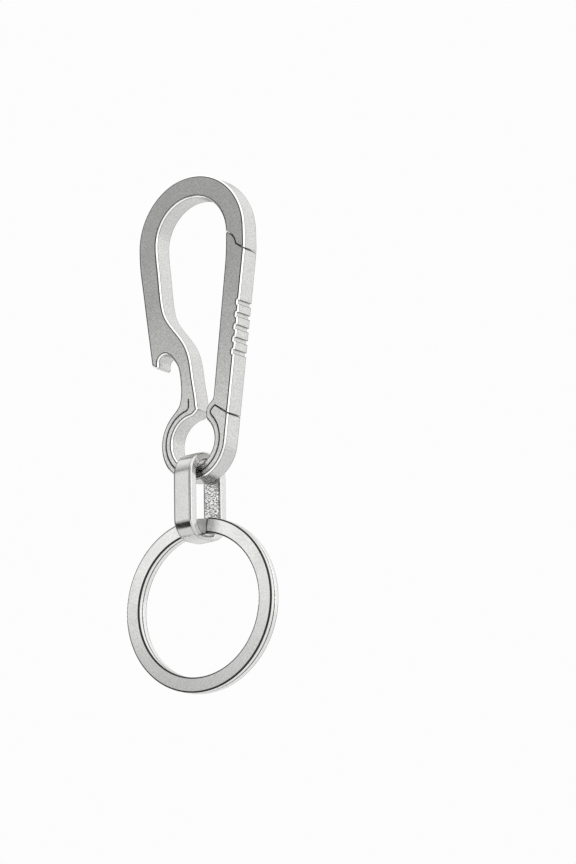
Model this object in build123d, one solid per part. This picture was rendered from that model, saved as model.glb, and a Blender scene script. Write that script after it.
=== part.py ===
"""Keychain carabiner with a bottle opener claw, a folded link and a two-turn split ring.

Units are millimetres and +Z is up. The carabiner is one titanium plate lying in the XZ plane,
centred on Y = 0. The row's origin is the centre of the hook's arc, where it hangs from a finger,
a loop or a bag strap. Everything in the plate is drawn about the eye's centre and lifted into place.
"""
import os
from math import cos, sin, radians

from build123d import *

# ---------------------------------------------------------------- driving dimensions
PLATE_T = 4.4            # plate thickness, along Y
EDGE_BREAK = 0.35        # chamfer on the plate's outline, both faces
HOOK_RISE = 39.85        # hook arc's centre above the eye's centre
HOOK_OUTER_R = 12.55
HOOK_INNER_R = 8.2
EYE_OUTER_R = 7.55
EYE_OUTER_X = 0.1        # the eye's outer circle stands a little to the gate's side of its hole
EYE_INNER_R = 4.93
GATE_LEAN = 7.75         # degrees, outer side of the gate from upright
GATE_TOP_Z = 35.0        # height where the gate's straight outer side starts to curve in

NOTCH_X = -6.6           # opener notch, its round root
NOTCH_Z = 16.5
NOTCH_R = 1.5
CLAW_TIP_R = 0.46
LIP_TIP_R = 0.48         # tip of the lip over the eye

CUT_W = 0.2              # wire cut that frees the spring loop
CUT_R = 6.25             # centre line of that cut, around the eye
CUT_TAIL_X = -0.87       # straight tail of the cut, up into the neck
FINGER_CORNER_R = 0.28   # the cut turns back at the finger's tip
SEAM_SLOPE = -34.0       # and leaves through the outer side, sloping down
NECK_CUT_Z = 8.3         # blind end of the cut, where the loop grows out of the neck
LOOP_END_DEG = 41.0      # where the loop runs into the gate

MID_GAP_X = 2.1          # a line up through the gap between the lip and the gate

GROOVE_COUNT = 5         # thumb grooves on the gate
GROOVE_PITCH = 2.36
GROOVE_MID_Z = 20.6
GROOVE_W = 0.78
GROOVE_D = 0.42

LINK_DEPTH = 9.85        # folded link, outside, along Y
LINK_SLOT = 6.3          # its opening, along Y, with half-round ends
LINK_W = 4.5             # band width, along X
LINK_TOP_Z = -2.08       # outer top, from the eye's centre
LINK_FOOT_Z = -19.0      # outer bottom
LINK_SLOT_TOP_Z = -6.7   # centre of the opening's upper end
LINK_SLOT_FOOT_Z = -15.0
LINK_TOP_R = 4.7         # outer corners above
LINK_FOOT_R = 3.9        # and below, where the band is flatter
LINK_YAW = -7.0
LINK_EDGE = 0.4

RING_OUTER_R = 16.5
RING_INNER_R = 13.6
RING_COIL_T = 1.25       # thickness of one turn
RING_COIL_GAP = 0.06     # gap between the two turns
RING_EDGE = 0.28
RING_CENTRE_X = 0.12
RING_CENTRE_Z = -31.14   # from the eye's centre
RING_YAW = 1.5
RING_STEP_DEG = 9.0      # half the angle over which one turn steps across to the other

EYE = Location((0, 0, -HOOK_RISE))


def around(radius, degrees, centre=(0, 0)):
    """Point at an angle about a centre, counter-clockwise from +X. The eye's centre is (0, 0)."""
    return (centre[0] + radius * cos(radians(degrees)), centre[1] + radius * sin(radians(degrees)))


def heading(degrees):
    """Unit direction at an angle, counter-clockwise from +X."""
    return (cos(radians(degrees)), sin(radians(degrees)))


def slab(face_sketch, thickness):
    """Face drawn in the XZ plane, thickened evenly to both sides of Y = 0."""
    return extrude(Plane.XZ * face_sketch, amount=thickness / 2, both=True)


# ---------------------------------------------------------------- the plate's outline
def outer_outline():
    """Hook, spine, opener claw, neck, eye and the straight outer side of the gate."""
    lean = heading(90 - GATE_LEAN)
    eye = (EYE_OUTER_X, 0)
    gate_foot = around(EYE_OUTER_R, -GATE_LEAN, eye)
    run = (GATE_TOP_Z - gate_foot[1]) / lean[1]
    gate_head = (gate_foot[0] + run * lean[0], GATE_TOP_Z)
    right = (HOOK_OUTER_R, HOOK_RISE)
    left = (-HOOK_OUTER_R, HOOK_RISE)
    spine_mid = (-11.08, 26.5)
    claw_out = (-9.68, 16.75)
    notch = (NOTCH_X, NOTCH_Z)
    tip = around(NOTCH_R + CLAW_TIP_R, 195, notch)
    eye_in = around(EYE_OUTER_R, 134, eye)
    edges = [
        Line(gate_foot, gate_head),
        Spline(gate_head, right, tangents=[lean, (0, 1)]),
        ThreePointArc(right, (0, HOOK_RISE + HOOK_OUTER_R), left),
        Spline(left, (-12.4, 36.1), (-11.8, 31.7), spine_mid, tangents=[(0, -1), heading(278.2)]),
        Line(spine_mid, claw_out),
        Spline(claw_out, around(CLAW_TIP_R, 235, tip), tangents=[heading(278.2), heading(325)]),
        ThreePointArc(
            around(CLAW_TIP_R, 235, tip), around(CLAW_TIP_R, 305, tip), around(CLAW_TIP_R, 15, tip)
        ),
        ThreePointArc(around(NOTCH_R, 195, notch), around(NOTCH_R, 125, notch), around(NOTCH_R, 62, notch)),
        Spline(
            around(NOTCH_R, 62, notch), (-4.25, 16.3), (-3.52, 15.1), (-2.88, 11.8), (-2.8, 9.9),
            (-3.1, 7.9), eye_in,
            tangents=[heading(-28), heading(224)],
        ),
        ThreePointArc(eye_in, around(EYE_OUTER_R, 240, eye), gate_foot),
    ]
    return make_face(edges)


def inner_window():
    """Hook opening, lip gap and eye, which are one window in the plate."""
    right = (HOOK_INNER_R, HOOK_RISE)
    left = (-HOOK_INNER_R, HOOK_RISE)
    lip = (0.62, 6.2)
    eye_in = around(EYE_INNER_R, 97)
    eye_out = around(EYE_INNER_R, 49)
    gate_foot = (4.97, 9.2)
    gate_head = (7.85, 33.0)
    gate_dir = heading(83.1)
    edges = [
        ThreePointArc(right, (0, HOOK_RISE + HOOK_INNER_R), left),
        Spline(
            left, (-7.8, 35.2), (-7.1, 28.6), (-6.55, 26.15), (-4.2, 22.55), (-1.5, 18.85), (-0.62, 16.5),
            (0.15, 11.9), (0.82, 7.9), around(LIP_TIP_R, 20, lip),
            tangents=[(0, -1), heading(-70)],
        ),
        ThreePointArc(around(LIP_TIP_R, 20, lip), around(LIP_TIP_R, -12, lip), around(LIP_TIP_R, -45, lip)),
        Spline(around(LIP_TIP_R, -45, lip), eye_in, tangents=[heading(225), heading(187)]),
        ThreePointArc(eye_in, around(EYE_INNER_R, 253), eye_out),
        Spline(eye_out, (3.0, 4.75), (3.2, 6.0), (4.27, 7.2), gate_foot, tangents=[heading(120), gate_dir]),
        Line(gate_foot, gate_head),
        Spline(gate_head, right, tangents=[gate_dir, (0, 1)]),
    ]
    return make_face(edges)


# ---------------------------------------------------------------- the cuts through the plate
def beside(point, degrees, shift):
    """Point moved to the right of a direction of travel."""
    return (point[0] + shift * sin(radians(degrees)), point[1] - shift * cos(radians(degrees)))


def loop_cut_path(shift):
    """Line along the wire cut: down the neck, round the eye and back round the finger's tip.

    A shift of 0 is the cut's middle, and a positive one moves to the frame's side of it.
    """
    radius = CUT_R + shift
    corner_r = FINGER_CORNER_R - shift
    tail_x = CUT_TAIL_X - shift
    tail_low = (tail_x, 6.8)
    join = around(radius, 103)
    leave = around(radius, LOOP_END_DEG)
    flank = beside((4.22, 5.05), 75, shift)
    corner = (5.3, 5.86)
    corner_in = around(corner_r, 128, corner)
    corner_out = around(corner_r, 90 + SEAM_SLOPE, corner)
    return [
        Line((tail_x, NECK_CUT_Z), tail_low),
        Spline(tail_low, join, tangents=[(0, -1), heading(193)], tangent_scalars=[0.6, 0.6]),
        ThreePointArc(join, around(radius, 252), leave),
        Spline(leave, flank, corner_in, tangents=[heading(LOOP_END_DEG + 90), heading(38)]),
        ThreePointArc(corner_in, around(corner_r, 92, corner), corner_out),
        PolarLine(corner_out, 4.5, SEAM_SLOPE),
    ]


def nose_seam(shift):
    """Stepped seam between the hook's nose and the gate's tip, moved towards the gate by shift."""
    line = [(7.4, 40.6), (10.12, 38.32), (10.72, 36.82), (13.4, 35.08)]
    return [(x - 0.85 * shift, z - 0.6 * shift) for x, z in line]


def loop_cut():
    """The wire cut as a thin face."""
    outer = loop_cut_path(CUT_W / 2)
    inner = loop_cut_path(-CUT_W / 2)
    ends = [Line(outer[0] @ 0, inner[0] @ 0), Line(outer[-1] @ 1, inner[-1] @ 1)]
    return make_face(outer + inner + ends)


def nose_cut():
    """The nose seam as a thin face."""
    upper = nose_seam(-0.1)
    lower = nose_seam(0.1)
    return make_face(Polyline(upper + lower[::-1], close=True).edges())


# ---------------------------------------------------------------- which side of the cuts is which
def gate_side():
    """Everything on the gate's side of the two cuts and of the loop's end."""
    path = loop_cut_path(0)
    loop_end = around(CUT_R, LOOP_END_DEG)
    cut_out = path[-1] @ 1
    seam = nose_seam(0)
    edges = [
        Line((0, 0), loop_end),
        *path[3:],
        Polyline(cut_out, (16, cut_out.Y), (16, seam[-1][1]), seam[-1]),
        Polyline(seam[::-1]),
        Polyline(seam[0], (MID_GAP_X, 38.0), (MID_GAP_X, 6.0), (0, 0)),
    ]
    return make_face(edges)


def loop_side():
    """Everything inside the wire cut: the loop itself and the stem that joins it to the neck."""
    path = loop_cut_path(0)
    loop_end = around(CUT_R, LOOP_END_DEG)
    edges = [
        *path[:3],
        Line(loop_end, (0, 0)),
        Polyline((0, 0), (MID_GAP_X, 6.0), (MID_GAP_X, NECK_CUT_Z), path[0] @ 0),
    ]
    return make_face(edges)


def plate():
    """Whole plate with its edges broken, the two cuts and the thumb grooves."""
    blank = slab(outer_outline() - inner_window(), PLATE_T)
    rims = [e for e in blank.edges() if abs(abs(e.center().Y) - PLATE_T / 2) < 1e-4]
    blank = chamfer(rims, EDGE_BREAK)
    blank -= slab(loop_cut(), PLATE_T + 2)
    blank -= slab(nose_cut(), PLATE_T + 2)
    return blank


# ---------------------------------------------------------------- nodes
def carabiner_frame(body):
    """Hook, spine, claw, neck and the finger around the eye."""
    rest = body - slab(loop_side(), PLATE_T + 1) - slab(gate_side(), PLATE_T + 1)
    return EYE * rest.solid()


def spring_loop(body):
    """Thin flexing loop around the eye that carries the gate."""
    return EYE * (body & slab(loop_side(), PLATE_T + 1)).solid()


def gate(body):
    """Gate with its thumb grooves."""
    bar = body & slab(gate_side(), PLATE_T + 1)
    foot_x, foot_z = around(EYE_OUTER_R, -GATE_LEAN, (EYE_OUTER_X, 0))
    slope = sin(radians(GATE_LEAN)) / cos(radians(GATE_LEAN))
    for step in range(GROOVE_COUNT):
        z = GROOVE_MID_Z + (step - (GROOVE_COUNT - 1) / 2) * GROOVE_PITCH
        x = foot_x + (z - foot_z) * slope
        tool = Box(2 * GROOVE_D, PLATE_T + 2, GROOVE_W)
        tool = fillet(tool.edges().filter_by(Axis.Y), 0.18)
        bar -= Pos(x, 0, z) * Rot(0, GATE_LEAN, 0) * tool
    return EYE * bar.solid()


def connecting_link():
    """Flat band folded into a closed oval, through the eye and round the split ring."""
    middle = (LINK_TOP_Z + LINK_FOOT_Z) / 2
    outer = Pos(0, middle) * Rectangle(LINK_DEPTH, LINK_TOP_Z - LINK_FOOT_Z)
    outer = fillet(outer.vertices().group_by(Axis.Y)[-1], LINK_TOP_R)
    outer = fillet(outer.vertices().group_by(Axis.Y)[0], LINK_FOOT_R)
    slot = SlotCenterToCenter(LINK_SLOT_TOP_Z - LINK_SLOT_FOOT_Z, LINK_SLOT, rotation=90)
    hole = Pos(0, (LINK_SLOT_TOP_Z + LINK_SLOT_FOOT_Z) / 2) * slot
    band = extrude(Plane.YZ * (outer - hole), amount=LINK_W / 2, both=True)
    rims = [e for e in band.edges() if abs(abs(e.center().X) - LINK_W / 2) < 1e-4]
    band = fillet(rims, LINK_EDGE)
    return EYE * Rot(0, 0, LINK_YAW) * band.solid()


def coil_section(angle, offset):
    """Cross section of the ring's strip, at an angle from the ring's top and an offset along Y."""
    middle = (RING_OUTER_R + RING_INNER_R) / 2
    spot = Rot(0, angle, 0) * Pos(0, offset, middle)
    strip = RectangleRounded(RING_COIL_T, RING_OUTER_R - RING_INNER_R, RING_EDGE)
    return spot * (Plane.YZ * strip)


def key_ring():
    """Flat split ring: two turns of one strip, stepping across just under the link."""
    offset = (RING_COIL_T + RING_COIL_GAP) / 2
    sweep_deg = 360 - 2 * RING_STEP_DEG
    start = coil_section(RING_STEP_DEG, 0)
    turn = revolve(start, Axis((0, 0, 0), (0, 1, 0)), revolution_arc=sweep_deg)
    front = Pos(0, -offset, 0) * turn
    back = Pos(0, offset, 0) * turn
    step = loft([
        coil_section(-RING_STEP_DEG, -offset),
        coil_section(-RING_STEP_DEG / 2, -offset * 0.7),
        coil_section(0, 0),
        coil_section(RING_STEP_DEG / 2, offset * 0.7),
        coil_section(RING_STEP_DEG, offset),
    ])
    coil = front + step + back
    return EYE * Pos(RING_CENTRE_X, 0, RING_CENTRE_Z) * Rot(0, 0, RING_YAW) * coil.solid()


def main():
    os.makedirs("parts", exist_ok=True)
    body = plate()
    nodes = {
        "carabiner_frame": carabiner_frame(body),
        "spring_loop": spring_loop(body),
        "gate": gate(body),
        "connecting_link": connecting_link(),
        "key_ring": key_ring(),
    }
    for name, shape in nodes.items():
        solids = shape.solids()
        print(name, len(solids), round(shape.volume, 2), shape.is_valid, shape.bounding_box())
        export_step(shape, f"parts/{name}.step")


main()
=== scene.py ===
"""Looks of the keychain carabiner: materials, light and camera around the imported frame."""
from math import cos, radians, sin

import bmesh
import bpy
from mathutils import Matrix, Vector
from mathutils.geometry import delaunay_2d_cdt


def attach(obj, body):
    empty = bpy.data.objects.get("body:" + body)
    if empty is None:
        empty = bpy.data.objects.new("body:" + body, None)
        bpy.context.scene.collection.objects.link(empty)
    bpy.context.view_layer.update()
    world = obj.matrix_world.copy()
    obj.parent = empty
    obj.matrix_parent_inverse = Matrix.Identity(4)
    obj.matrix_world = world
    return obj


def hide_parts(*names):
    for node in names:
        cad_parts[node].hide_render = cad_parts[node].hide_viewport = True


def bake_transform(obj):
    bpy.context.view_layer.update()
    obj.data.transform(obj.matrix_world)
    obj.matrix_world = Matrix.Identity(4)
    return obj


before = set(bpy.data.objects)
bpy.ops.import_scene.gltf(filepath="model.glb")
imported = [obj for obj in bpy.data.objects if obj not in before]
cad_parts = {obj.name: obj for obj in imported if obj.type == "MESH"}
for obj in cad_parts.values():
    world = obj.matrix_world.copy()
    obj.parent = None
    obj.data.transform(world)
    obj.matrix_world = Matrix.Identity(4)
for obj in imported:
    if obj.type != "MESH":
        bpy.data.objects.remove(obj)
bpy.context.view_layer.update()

MM = 0.001
HOOK_RISE = 39.85 * MM          # hook arc's centre above the eye's centre
EYE = Vector((0, 0, -HOOK_RISE))

# ---------------------------------------------------------------- camera
CAM_AZIMUTH = 34.99
CAM_ELEVATION = -13.71          # below the horizon, looking up
CAM_ROLL = -1.0
CAM_DISTANCE = 600 * MM
CAM_LENS = 132.41
SENSOR = 36.0
EYE_ACROSS = -0.1025            # the eye's centre in the picture, in picture heights from the middle
EYE_DOWN = 0.013


def add_camera():
    """Camera at the fitted viewing angle, with the eye's centre at its place in the picture."""
    az = radians(CAM_AZIMUTH)
    el = radians(CAM_ELEVATION)
    roll = radians(CAM_ROLL)
    back = Vector((sin(az) * cos(el), -cos(az) * cos(el), sin(el)))
    level = (-back).cross(Vector((0, 0, 1))).normalized()
    rise = level.cross(-back)
    right = level * cos(roll) + rise * sin(roll)
    up = rise * cos(roll) - level * sin(roll)
    per_height = CAM_DISTANCE * SENSOR / CAM_LENS
    place = EYE + back * CAM_DISTANCE - right * EYE_ACROSS * per_height + up * EYE_DOWN * per_height
    data = bpy.data.cameras.new("camera")
    data.lens = CAM_LENS
    data.sensor_width = SENSOR
    data.sensor_height = SENSOR
    data.sensor_fit = "AUTO"
    data.clip_start = 0.01
    data.clip_end = 10
    camera = bpy.data.objects.new("camera", data)
    camera.matrix_world = Matrix((
        (right.x, up.x, back.x, place.x),
        (right.y, up.y, back.y, place.y),
        (right.z, up.z, back.z, place.z),
        (0, 0, 0, 1),
    ))
    bpy.context.scene.collection.objects.link(camera)
    bpy.context.scene.camera = camera


# ---------------------------------------------------------------- studio
FLOOR_Z = -0.24
FLOOR_HALF = 3.0
CARD_SIDE = (-0.557, -0.796, 0.237)
CARD_DISTANCE = 130 * MM
CARD_HEIGHT = -56 * MM
CARD_POWER = 0.012
CARD_WIDTH = 90 * MM
CARD_TALL = 60 * MM
BLACK_SIDE = (-0.725, -0.631, -0.30)
BLACK_DISTANCE = 120 * MM
BLACK_HEIGHT = -58 * MM
BLACK_HALF = (22 * MM, 27 * MM)
WHITE = (0.98, 0.98, 0.98, 1)


def node(tree, kind, **values):
    """New shader node with some of its input sockets or properties set."""
    made = tree.nodes.new(kind)
    for key, value in values.items():
        if key in made.inputs:
            made.inputs[key].default_value = value
        else:
            setattr(made, key, value)
    return made


def fill_ramp(ramp, stops):
    """Sets a colour ramp to grey levels at the given places."""
    band = ramp.color_ramp
    band.elements.remove(band.elements[1])
    for i, (at, level) in enumerate(stops):
        stop = band.elements[0] if i == 0 else band.elements.new(at)
        stop.position = at
        stop.color = (level, level, level, 1)


# brightness round the horizon; 0..1 runs from -X through -Y, +X and +Y back to -X
TENT = (
    (0.00, 0.20), (0.06, 0.40), (0.15, 0.58), (0.22, 0.46), (0.29, 0.10), (0.37, 0.10), (0.395, 1.70),
    (0.50, 1.60), (0.60, 1.28), (0.70, 1.15), (0.80, 0.66), (0.88, 0.08), (0.96, 0.08),
)
ROOF = 1.35                     # brightness of the tent's roof
ROOF_LOW = 0.40                 # sine of the height at which the walls begin to turn into the roof
ROOF_HIGH = 0.80


def add_world():
    """White tent: bright to the back and right, greyer to the front left, dark round the camera."""
    world = bpy.data.worlds.new("tent")
    world.use_nodes = True
    tree = world.node_tree
    tree.nodes.clear()
    out = node(tree, "ShaderNodeOutputWorld")
    seen = node(tree, "ShaderNodeBackground", Color=WHITE, Strength=1.0)
    light = node(tree, "ShaderNodeBackground", Strength=1.0)
    pick = node(tree, "ShaderNodeMixShader")
    path = node(tree, "ShaderNodeLightPath")
    coord = node(tree, "ShaderNodeTexCoord")
    around = node(tree, "ShaderNodeTexGradient", gradient_type="RADIAL")
    ramp = node(tree, "ShaderNodeValToRGB")
    split = node(tree, "ShaderNodeSeparateXYZ")
    rise = node(tree, "ShaderNodeMapRange", interpolation_type="SMOOTHSTEP")
    rise.inputs["From Min"].default_value = ROOF_LOW
    rise.inputs["From Max"].default_value = ROOF_HIGH
    cover = node(tree, "ShaderNodeMix", data_type="RGBA")
    cover.inputs[7].default_value = (ROOF, ROOF, ROOF, 1)
    fill_ramp(ramp, TENT)
    tree.links.new(coord.outputs["Generated"], around.inputs["Vector"])
    tree.links.new(coord.outputs["Generated"], split.inputs["Vector"])
    tree.links.new(around.outputs["Fac"], ramp.inputs["Fac"])
    tree.links.new(split.outputs["Z"], rise.inputs["Value"])
    tree.links.new(rise.outputs["Result"], cover.inputs["Factor"])
    tree.links.new(ramp.outputs["Color"], cover.inputs[6])
    tree.links.new(cover.outputs[2], light.inputs["Color"])
    tree.links.new(path.outputs["Is Camera Ray"], pick.inputs["Fac"])
    tree.links.new(light.outputs["Background"], pick.inputs[1])
    tree.links.new(seen.outputs["Background"], pick.inputs[2])
    tree.links.new(pick.outputs["Shader"], out.inputs["Surface"])
    bpy.context.scene.world = world


def towards(direction, distance, start):
    """Place and rotation of a card that faces the start point from a direction."""
    away = Vector(direction).normalized()
    return start + away * distance, away.to_track_quat("Z", "Y")


def add_light_card():
    """Soft card at the front left that lights the lower half of the object more than the hook."""
    data = bpy.data.lights.new("low_card", "AREA")
    data.shape = "RECTANGLE"
    data.size = CARD_WIDTH
    data.size_y = CARD_TALL
    data.energy = CARD_POWER
    lamp = bpy.data.objects.new("low_card", data)
    lamp.location, turn = towards(CARD_SIDE, CARD_DISTANCE, Vector((0, 0, CARD_HEIGHT)))
    lamp.rotation_mode = "QUATERNION"
    lamp.rotation_quaternion = turn
    lamp.visible_camera = False
    bpy.context.scene.collection.objects.link(lamp)


def add_dark_card():
    """Black card low at the front left, which draws the dark band across the link's lower bend."""
    mesh = bpy.data.meshes.new("dark_card")
    half_w, half_h = BLACK_HALF
    corners = [(-half_w, -half_h, 0), (half_w, -half_h, 0), (half_w, half_h, 0), (-half_w, half_h, 0)]
    mesh.from_pydata(corners, [], [(0, 1, 2, 3)])
    card = bpy.data.objects.new("dark_card", mesh)
    card.location, turn = towards(BLACK_SIDE, BLACK_DISTANCE, Vector((0, 0, BLACK_HEIGHT)))
    card.rotation_mode = "QUATERNION"
    card.rotation_quaternion = turn
    paint = bpy.data.materials.new("black_card")
    paint.use_nodes = True
    shader = paint.node_tree.nodes["Principled BSDF"]
    shader.inputs["Base Color"].default_value = (0.01, 0.01, 0.01, 1)
    shader.inputs["Roughness"].default_value = 1.0
    mesh.materials.append(paint)
    card.visible_camera = False
    card.visible_diffuse = False
    card.visible_shadow = False
    bpy.context.scene.collection.objects.link(card)


def add_floor():
    """Plain pale floor, well below the hanging object."""
    mesh = bpy.data.meshes.new("floor")
    half = FLOOR_HALF
    corners = [(x, y, FLOOR_Z) for x, y in ((-half, -half), (half, -half), (half, half), (-half, half))]
    mesh.from_pydata(corners, [], [(0, 1, 2, 3)])
    floor = bpy.data.objects.new("floor", mesh)
    bpy.context.scene.collection.objects.link(floor)
    paint = bpy.data.materials.new("floor_paint")
    paint.use_nodes = True
    shader = paint.node_tree.nodes["Principled BSDF"]
    shader.inputs["Base Color"].default_value = (0.9, 0.9, 0.9, 1)
    shader.inputs["Roughness"].default_value = 0.8
    mesh.materials.append(paint)


# ---------------------------------------------------------------- materials
# light colour of the painted highlights on the chamfers and of the painted light on the link's slot walls
PAINTED_LIGHT_TONE = (0.97, 0.97, 0.965, 1)
# dark colour of the painted shade lines along edges, cuts and the ring's coil gap; also the colour of the
# link's wall pits
SHADE_AND_PIT_DARK = (0.035, 0.035, 0.034, 1)
EDGE_POLISH = 0.5               # share of the roughness that is left on a rubbed edge
RING_CENTRE = (0.12 * MM, 0, -HOOK_RISE - 31.14 * MM)
RING_YAW = 1.5
RING_OUTER = 16.5 * MM
RING_INNER = 13.6 * MM
RING_HALF = 1.28 * MM           # half the thickness of the two coils together
RING_LINE = 0.30 * MM
# share of the painted dark shade on the ring's edges and coil gap
RING_SHADE_SHARE = 1.0
LINK_YAW = -7.0
SLOT_HALF = 3.15 * MM
PIT_STAIN = 0.7
# share of the painted light on the link's slot walls
WALL_LIGHT_SHARE = 0.8
LINK_LINE = 1.80 * MM           # from the band's middle to its bevel
# share of the painted dark shade lines on the link's bevels
LINK_SHADE_SHARE = 0.7


def step_mask(tree, value, low, high, soft):
    """Node chain that is 1 where a value lies between two limits and 0 outside them."""
    rise = node(tree, "ShaderNodeMapRange", interpolation_type="SMOOTHSTEP")
    rise.inputs["From Min"].default_value = low - soft
    rise.inputs["From Max"].default_value = low + soft
    fall = node(tree, "ShaderNodeMapRange", interpolation_type="SMOOTHSTEP")
    fall.inputs["From Min"].default_value = high - soft
    fall.inputs["From Max"].default_value = high + soft
    fall.inputs["To Min"].default_value = 1.0
    fall.inputs["To Max"].default_value = 0.0
    both = node(tree, "ShaderNodeMath", operation="MULTIPLY")
    tree.links.new(value, rise.inputs["Value"])
    tree.links.new(value, fall.inputs["Value"])
    tree.links.new(rise.outputs["Result"], both.inputs[0])
    tree.links.new(fall.outputs["Result"], both.inputs[1])
    return both.outputs["Value"]


def combine(tree, operation, first, second):
    """Node that joins two values with a math operation."""
    made = node(tree, "ShaderNodeMath", operation=operation)
    tree.links.new(first, made.inputs[0])
    tree.links.new(second, made.inputs[1])
    return made.outputs["Value"]


def local_axes(tree, centre, yaw):
    """A piece's own coordinates: X across, the distance from its mid-plane, and its radius."""
    coord = node(tree, "ShaderNodeTexCoord")
    place = node(tree, "ShaderNodeMapping", vector_type="TEXTURE")
    place.inputs["Location"].default_value = centre
    place.inputs["Rotation"].default_value = (0, 0, radians(yaw))
    split = node(tree, "ShaderNodeSeparateXYZ")
    flat = node(tree, "ShaderNodeCombineXYZ")
    radius = node(tree, "ShaderNodeVectorMath", operation="LENGTH")
    through = node(tree, "ShaderNodeMath", operation="ABSOLUTE")
    tree.links.new(coord.outputs["Object"], place.inputs["Vector"])
    tree.links.new(place.outputs["Vector"], split.inputs["Vector"])
    tree.links.new(split.outputs["X"], flat.inputs["X"])
    tree.links.new(split.outputs["Z"], flat.inputs["Z"])
    tree.links.new(flat.outputs["Vector"], radius.inputs[0])
    tree.links.new(split.outputs["Y"], through.inputs[0])
    return split.outputs["X"], through.outputs["Value"], radius.outputs["Value"]


def ring_lines(mat):
    """Painted dark shade lines along the ring's edges, and painted shade in the gap between its two
    coils.
    """
    tree = mat.node_tree
    through, radius = local_axes(tree, RING_CENTRE, RING_YAW)[1:]
    outer = step_mask(tree, radius, RING_OUTER - RING_LINE, RING_OUTER + MM, 0.04 * MM)
    inner = step_mask(tree, radius, RING_INNER - MM, RING_INNER + RING_LINE, 0.04 * MM)
    rims = combine(tree, "MAXIMUM", outer, inner)
    faces = step_mask(tree, through, RING_HALF - RING_LINE, RING_HALF + MM, 0.04 * MM)
    gap = step_mask(tree, through, -MM, 0.13 * MM, 0.04 * MM)
    edges = combine(tree, "MULTIPLY", rims, faces)
    tint_or_paint_shading(mat, combine(tree, "MAXIMUM", edges, gap), RING_SHADE_SHARE)


def link_walls(mat):
    """Rough wire-cut pits on the two flat walls inside the link's slot, whose colour is painted lighter
    as painted light where the slot shades them.
    """
    tree = mat.node_tree
    through = local_axes(tree, (0, 0, 0), LINK_YAW)[1]
    wall = step_mask(tree, through, SLOT_HALF - 0.06 * MM, SLOT_HALF + 0.06 * MM, 0.02 * MM)
    coord = node(tree, "ShaderNodeTexCoord")
    squeeze = node(tree, "ShaderNodeMapping")
    squeeze.inputs["Scale"].default_value = (0.35, 1.0, 1.0)
    pits = node(tree, "ShaderNodeTexNoise", Scale=5600, Detail=2.0, Roughness=0.6)
    spread = node(tree, "ShaderNodeMapRange")
    spread.inputs["From Min"].default_value = 0.50
    spread.inputs["From Max"].default_value = 0.62
    tree.links.new(coord.outputs["Object"], squeeze.inputs["Vector"])
    tree.links.new(squeeze.outputs["Vector"], pits.inputs["Vector"])
    tree.links.new(pits.outputs["Fac"], spread.inputs["Value"])
    pitted = combine(tree, "MULTIPLY", spread.outputs["Result"], wall)
    # painted light: the slot walls' colour is lifted towards a light tone
    tint_or_paint_shading(mat, wall, WALL_LIGHT_SHARE, PAINTED_LIGHT_TONE)
    tint_or_paint_shading(mat, pitted, PIT_STAIN)
    shader = tree.nodes["Principled BSDF"]
    grain = shader.inputs["Normal"].links[0].from_socket
    dents = node(tree, "ShaderNodeBump", Strength=1.0, Distance=0.10 * MM)
    dents.invert = True
    tree.links.new(pitted, dents.inputs["Height"])
    tree.links.new(grain, dents.inputs["Normal"])
    tree.links.new(dents.outputs["Normal"], shader.inputs["Normal"])


def link_lines(mat):
    """Painted dark shade lines where the band's faces meet its bevels."""
    tree = mat.node_tree
    across = local_axes(tree, (0, 0, 0), LINK_YAW)[0]
    side = node(tree, "ShaderNodeMath", operation="ABSOLUTE")
    tree.links.new(across, side.inputs[0])
    line = step_mask(tree, side.outputs["Value"], LINK_LINE - 0.07 * MM, LINK_LINE + 0.07 * MM, 0.03 * MM)
    tint_or_paint_shading(mat, line, LINK_SHADE_SHARE)


def tint_or_paint_shading(mat, mask, share, colour=SHADE_AND_PIT_DARK):
    """Turns a metal's colour towards another one where a mask says so: painted shade, painted light, or
    the tone of pits.
    """
    tree = mat.node_tree
    shader = tree.nodes["Principled BSDF"]
    before = shader.inputs["Base Color"].links[0].from_socket
    amount = node(tree, "ShaderNodeMath", operation="MULTIPLY")
    amount.inputs[1].default_value = share
    mix = node(tree, "ShaderNodeMix", data_type="RGBA")
    mix.inputs[7].default_value = colour
    tree.links.new(mask, amount.inputs[0])
    tree.links.new(amount.outputs["Value"], mix.inputs["Factor"])
    tree.links.new(before, mix.inputs[6])
    tree.links.new(mix.outputs[2], shader.inputs["Base Color"])


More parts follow.
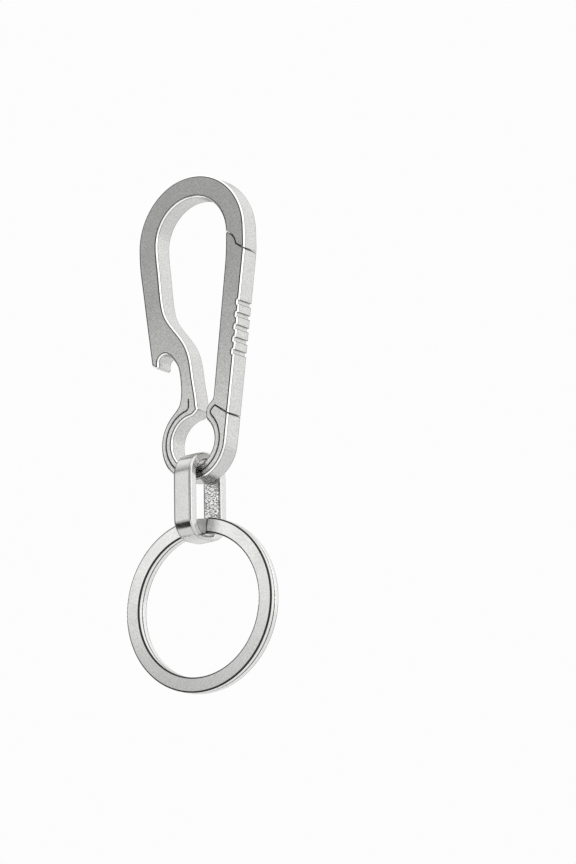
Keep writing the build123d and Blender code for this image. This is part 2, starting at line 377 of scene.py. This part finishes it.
def metal(name, dark, light, rough, grain, contrast, bump):
    """Bead-blasted metal: speckle in colour, gloss and height, with a painted highlight on its chamfers,
    where it is also less rough, and painted dark shade lines along its edges.
    """
    mat = bpy.data.materials.new(name)
    mat.use_nodes = True
    tree = mat.node_tree
    shader = tree.nodes["Principled BSDF"]
    shader.inputs["Metallic"].default_value = 1.0
    coord = node(tree, "ShaderNodeTexCoord")
    fine = node(tree, "ShaderNodeTexNoise", Scale=grain, Detail=4.0, Roughness=0.7)
    cloud = node(tree, "ShaderNodeTexNoise", Scale=grain * 0.05, Detail=2.0)
    spread = node(tree, "ShaderNodeMapRange")
    spread.inputs["From Min"].default_value = 0.5 - contrast
    spread.inputs["From Max"].default_value = 0.5 + contrast
    tone = node(tree, "ShaderNodeMix", data_type="RGBA")
    tone.inputs[6].default_value = (*dark, 1)
    tone.inputs[7].default_value = (*light, 1)
    # painted highlight: the chamfer rows are made lighter in colour, and they are also given a lower
    # roughness
    shine = node(tree, "ShaderNodeAttribute", attribute_name="edge_shine")
    painted_highlight = node(tree, "ShaderNodeMix", data_type="RGBA")
    painted_highlight.inputs[7].default_value = PAINTED_LIGHT_TONE
    # painted shade: the rows at the edges get dark lines painted into the colour
    line = node(tree, "ShaderNodeAttribute", attribute_name="painted_edge_shade")
    painted_shade = node(tree, "ShaderNodeMix", data_type="RGBA")
    painted_shade.inputs[7].default_value = SHADE_AND_PIT_DARK
    gloss = node(tree, "ShaderNodeMapRange")
    gloss.inputs["From Min"].default_value = 0.3
    gloss.inputs["From Max"].default_value = 0.7
    gloss.inputs["To Min"].default_value = rough - 0.04
    gloss.inputs["To Max"].default_value = rough + 0.04
    polish = node(tree, "ShaderNodeMapRange")
    polish.inputs["To Min"].default_value = 1.0
    polish.inputs["To Max"].default_value = EDGE_POLISH
    rub = node(tree, "ShaderNodeMath", operation="MULTIPLY")
    height = node(tree, "ShaderNodeBump", Strength=bump, Distance=0.03 * MM)
    for tex in (fine, cloud):
        tree.links.new(coord.outputs["Object"], tex.inputs["Vector"])
    tree.links.new(fine.outputs["Fac"], spread.inputs["Value"])
    tree.links.new(spread.outputs["Result"], tone.inputs["Factor"])
    tree.links.new(shine.outputs["Fac"], painted_highlight.inputs["Factor"])
    tree.links.new(tone.outputs[2], painted_highlight.inputs[6])
    tree.links.new(line.outputs["Fac"], painted_shade.inputs["Factor"])
    tree.links.new(painted_highlight.outputs[2], painted_shade.inputs[6])
    tree.links.new(painted_shade.outputs[2], shader.inputs["Base Color"])
    tree.links.new(cloud.outputs["Fac"], gloss.inputs["Value"])
    tree.links.new(shine.outputs["Fac"], polish.inputs["Value"])
    tree.links.new(gloss.outputs["Result"], rub.inputs[0])
    tree.links.new(polish.outputs["Result"], rub.inputs[1])
    tree.links.new(rub.outputs["Value"], shader.inputs["Roughness"])
    tree.links.new(fine.outputs["Fac"], height.inputs["Height"])
    tree.links.new(height.outputs["Normal"], shader.inputs["Normal"])
    return mat


def dress(name, mat):
    """Gives a carried CAD node its material."""
    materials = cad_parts[name].data.materials
    materials.clear()
    materials.append(mat)


# ---------------------------------------------------------------- plate pieces
PLATE_T = 4.4 * MM
EDGE_BREAK = 0.35 * MM
CUT_EDGE = 0.03 * MM            # edges left by the wire cut are nearly sharp
JOINED_EDGE = 0.004 * MM        # and where two pieces are one metal there is no edge to see
NEAR_FACE = 0.05 * MM           # depth of the section that tells broken edges from sharp ones
UNBROKEN = 0.15 * MM            # an outline that moves in less than this by there has a sharp edge
TOUCHING = 0.02 * MM            # outlines nearer than this belong to one piece of metal
SHARP = radians(42)             # a ridge sharper than this is not shaded smooth
GENTLE = 0.3                    # sine of a turn that is too slight to work out a mitre for
PLATE_NODES = ("carabiner_frame", "spring_loop", "gate")
STEP = 0.16 * MM                # spacing of the points along an outline
CORNER = radians(35)            # a turn sharper than this is a corner
DOUBLED = 0.004 * MM            # points nearer together than this are one point
STRAIGHT = 0.0004 * MM          # a point that stands out less than this is on a straight run
LONG_RUN = 2.5                  # a chord this many times its neighbour is a straight run
NEARBY = 20                     # points to each side among which an inset can fold
FOLDED = 0.93                   # an inset point nearer to an edge than this share of its reach is folded


def section(name, height):
    """Closed outline of a CAD plate node at a height through its thickness, as (x, z) points."""
    mesh = bmesh.new()
    mesh.from_mesh(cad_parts[name].data)
    bmesh.ops.remove_doubles(mesh, verts=mesh.verts[:], dist=0.001 * MM)
    parts = mesh.verts[:] + mesh.edges[:] + mesh.faces[:]
    cut = bmesh.ops.bisect_plane(mesh, geom=parts, plane_co=(0, height, 0), plane_no=(0, 1, 0))
    edges = [e for e in cut["geom_cut"] if isinstance(e, bmesh.types.BMEdge)]
    links = {}
    for edge in edges:
        a, b = edge.verts
        links.setdefault(a, []).append(b)
        links.setdefault(b, []).append(a)
    start = edges[0].verts[0]
    loop = [start]
    last, here = None, start
    while True:
        ahead = [v for v in links[here] if v is not last]
        if not ahead or ahead[0] is start:
            break
        last, here = here, ahead[0]
        loop.append(here)
    points = [Vector((v.co.x, v.co.z)) for v in loop]
    mesh.free()
    area = sum(p.cross(q) for p, q in zip(points, points[1:] + points[:1]))
    return points if area > 0 else points[::-1]


def thinned(points):
    """Outline without its doubled points and without points on straight runs."""
    kept = []
    for i, point in enumerate(points):
        before = kept[-1] if kept else points[-1]
        after = points[(i + 1) % len(points)]
        if (point - before).length < DOUBLED:
            continue
        off = abs((after - before).normalized().cross(point - before)) if after != before else 1
        if off > STRAIGHT:
            kept.append(point)
    return kept


def resampled(points):
    """Outline with even steps, curved through the given points but kept straight on long runs."""
    count = len(points)
    chords = [points[(i + 1) % count] - points[i] for i in range(count)]

    def tangent(i, side):
        before, after = chords[i - 1], chords[i]
        if before.angle(after) > CORNER:
            return (after if side > 0 else before).normalized()
        if before.length > LONG_RUN * after.length:
            return before.normalized()
        if after.length > LONG_RUN * before.length:
            return after.normalized()
        blend = before.normalized() * after.length + after.normalized() * before.length
        return blend.normalized()

    out = []
    for i, chord in enumerate(chords):
        steps = max(1, round(chord.length / STEP))
        p, q = points[i], points[(i + 1) % count]
        m = tangent(i, 1) * chord.length
        n = tangent((i + 1) % count, -1) * chord.length
        for k in range(steps):
            t = k / steps
            out.append(
                p * (2 * t**3 - 3 * t**2 + 1) + m * (t**3 - 2 * t**2 + t)
                + q * (3 * t**2 - 2 * t**3) + n * (t**3 - t**2)
            )
    return out


def to_edge(point, a, b):
    """Distance from a point to the straight edge between two others."""
    run = b - a
    t = max(0.0, min(1.0, (point - a).dot(run) / max(run.length_squared, 1e-18)))
    return (a + run * t - point).length


def far_from(point, outline):
    """Distance from a point to a closed outline."""
    return min(to_edge(point, a, b) for a, b in zip(outline, outline[1:] + outline[:1]))


def inset(points, reach):
    """Outline moved inwards by each edge's own reach, bridged where it would fold over itself."""
    count = len(points)
    normals = []
    for i in range(count):
        run = (points[(i + 1) % count] - points[i]).normalized()
        normals.append(Vector((-run.y, run.x)))
    moved = []
    for i in range(count):
        n0, n1 = normals[i - 1], normals[i]
        r0, r1 = reach[i - 1], reach[i]
        cross = n0.cross(n1)
        if abs(cross) < GENTLE:
            moved.append(points[i] + (n0 + n1).normalized() * (r0 + r1) / 2)
        else:
            moved.append(points[i] + Vector((r0 * n1.y - r1 * n0.y, r1 * n0.x - r0 * n1.x)) / cross)

    def clear(i):
        for j in range(i - NEARBY, i + NEARBY):
            a, b = points[j % count], points[(j + 1) % count]
            if to_edge(moved[i], a, b) < FOLDED * reach[j % count]:
                return False
        return True

    good = [i for i in range(count) if clear(i)]
    for first, last in zip(good, good[1:] + [good[0] + count]):
        start, end = moved[first], moved[last % count]
        for i in range(first + 1, last):
            moved[i % count] = start.lerp(end, (i - first) / (last - first))
    return moved


# rings across an edge: share of the break, extra inwards, drop from the face, painted dark shade line,
# painted highlight (shine)
RIM = (
    (1.0, 0.13, 0.0, 0.0, 0.0),
    (1.0, 0.08, 0.0, 0.9, 0.0),
    (1.0, 0.00, 0.01, 1.0, 0.0),
    (0.68, 0.00, 0.32, 0.3, 0.7),
    (0.52, 0.00, 0.48, 0.0, 1.0),
    (0.15, 0.00, 0.84, 0.0, 1.0),
    (0.0, 0.00, 1.02, 0.5, 0.0),
    (0.0, 0.00, 1.25, 0.4, 0.0),
    (0.0, 0.00, 1.65, 0.0, 0.0),
)
GROOVES_LOW = -24.8 * MM        # heights between which the lever has its thumb grooves
GROOVES_HIGH = -13.7 * MM
# strength of the painted dark shade line at the corners of the thumb grooves
GROOVE_LINE = 1.0


def cap(mesh, row):
    """Fills a closed row of vertices with flat triangles."""
    spots = [Vector((v.co.x, v.co.z)) / MM for v in row]
    filled = delaunay_2d_cdt(spots, [], [list(range(len(row)))], 1, 1e-5)
    verts = []
    for spot, sources in zip(filled[0], filled[3]):
        place = (spot.x * MM, row[0].co.y, spot.y * MM)
        verts.append(row[sources[0]] if sources else mesh.verts.new(place))
    for corners in filled[2]:
        mesh.faces.new([verts[k] for k in corners])


def plate_piece(name, node_name, body, shader):
    """Rebuilds a plate node from its own outline, with softened breaks and rims that carry painted
    highlights and painted dark shade lines.
    """
    outline = resampled(thinned(section(node_name, 0.0)))
    near_face = section(node_name, NEAR_FACE - PLATE_T / 2)
    others = [section(other, 0.0) for other in PLATE_NODES if other != node_name]
    count = len(outline)
    joined = []
    sawn = []
    for i in range(count):
        middle = (outline[i] + outline[(i + 1) % count]) / 2
        grooved = GROOVES_LOW < middle.y < GROOVES_HIGH
        touching = min(far_from(middle, other) for other in others) < TOUCHING
        joined.append(touching)
        sawn.append(not grooved and not touching and far_from(middle, near_face) < UNBROKEN)
    corners = []
    for i in range(count):
        turn = (outline[i] - outline[i - 1]).angle(outline[(i + 1) % count] - outline[i])
        grooved = GROOVES_LOW < outline[i].y < GROOVES_HIGH
        corners.append(GROOVE_LINE if grooved and turn > CORNER else 0.0)
    breaks = [
        JOINED_EDGE if touching else CUT_EDGE if cut else EDGE_BREAK
        for touching, cut in zip(joined, sawn)
    ]
    # wire-cut edges, their neighbours and the groove corners mark where the walls get painted dark shade
    # lines
    by_cut = [1.0 if sawn[i - 1] or sawn[i] else 0.0 for i in range(count)]
    near_cut = [max(by_cut[i - 1], by_cut[(i + 1) % count]) for i in range(count)]
    wall_line = [max(line) for line in zip(by_cut, near_cut, corners)]
    rings = []
    for share, extra, drop, dark, shine in RIM:
        margin = extra * MM
        flat = inset(outline, [b * share + (0 if j else margin) for b, j in zip(breaks, joined)])
        fall = []
        for i in range(count):
            pair = (breaks[i - 1], breaks[i])
            depth = sum(pair) / 2 if joined[i - 1] == joined[i] else max(pair)
            fall.append(drop * depth)
        if share == 0.0:
            lines = [max(dark, w) for w in wall_line]
        else:
            border = 0.7 if extra > 0 else 0.0
            lines = [dark * (1 - border * c) for c in by_cut]
        rings.append((flat, fall, lines, [shine * (1 - c) for c in by_cut]))
    mesh = bmesh.new()
    shade_layer = mesh.verts.layers.float.new("painted_edge_shade")
    shine_layer = mesh.verts.layers.float.new("edge_shine")
    grid = []
    for face in (-1, 1):
        order = rings if face < 0 else rings[::-1]
        for flat, fall, dark, shine in order:
            row = []
            for i in range(count):
                vert = mesh.verts.new((flat[i].x, face * (PLATE_T / 2 - fall[i]), flat[i].y))
                vert[shade_layer] = dark[i]
                vert[shine_layer] = shine[i]
                row.append(vert)
            grid.append(row)
    for low, high in zip(grid, grid[1:]):
        for i in range(count):
            j = (i + 1) % count
            mesh.faces.new((low[i], low[j], high[j], high[i]))
    cap(mesh, grid[0])
    cap(mesh, grid[-1])
    bmesh.ops.recalc_face_normals(mesh, faces=mesh.faces[:])
    for f in mesh.faces:
        f.smooth = True
    data = bpy.data.meshes.new(name)
    mesh.to_mesh(data)
    mesh.free()
    data.set_sharp_from_angle(angle=SHARP)
    data.materials.append(shader)
    piece = bpy.data.objects.new(name, data)
    bpy.context.scene.collection.objects.link(piece)
    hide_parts(node_name)
    if body:
        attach(piece, body)
    return piece


add_camera()
add_world()
add_floor()
add_light_card()
add_dark_card()
bpy.context.scene.view_settings.view_transform = "Standard"

plate_metal = metal("titanium_plate", (0.38, 0.378, 0.372), (0.76, 0.757, 0.75), 0.30, 4200, 0.19, 0.5)
link_metal = metal("link_band", (0.48, 0.478, 0.472), (0.72, 0.717, 0.71), 0.18, 5000, 0.22, 0.25)
ring_metal = metal("ring_strip", (0.58, 0.578, 0.572), (0.88, 0.877, 0.87), 0.30, 4600, 0.19, 0.45)
ring_lines(ring_metal)
link_walls(link_metal)
link_lines(link_metal)
plate_piece("carabiner_body", "carabiner_frame", "frame", plate_metal)
plate_piece("gate_lever", "gate", "gate", plate_metal)
loop = plate_piece("flexing_loop", "spring_loop", None, plate_metal)
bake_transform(loop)
dress("connecting_link", link_metal)
dress("key_ring", ring_metal)
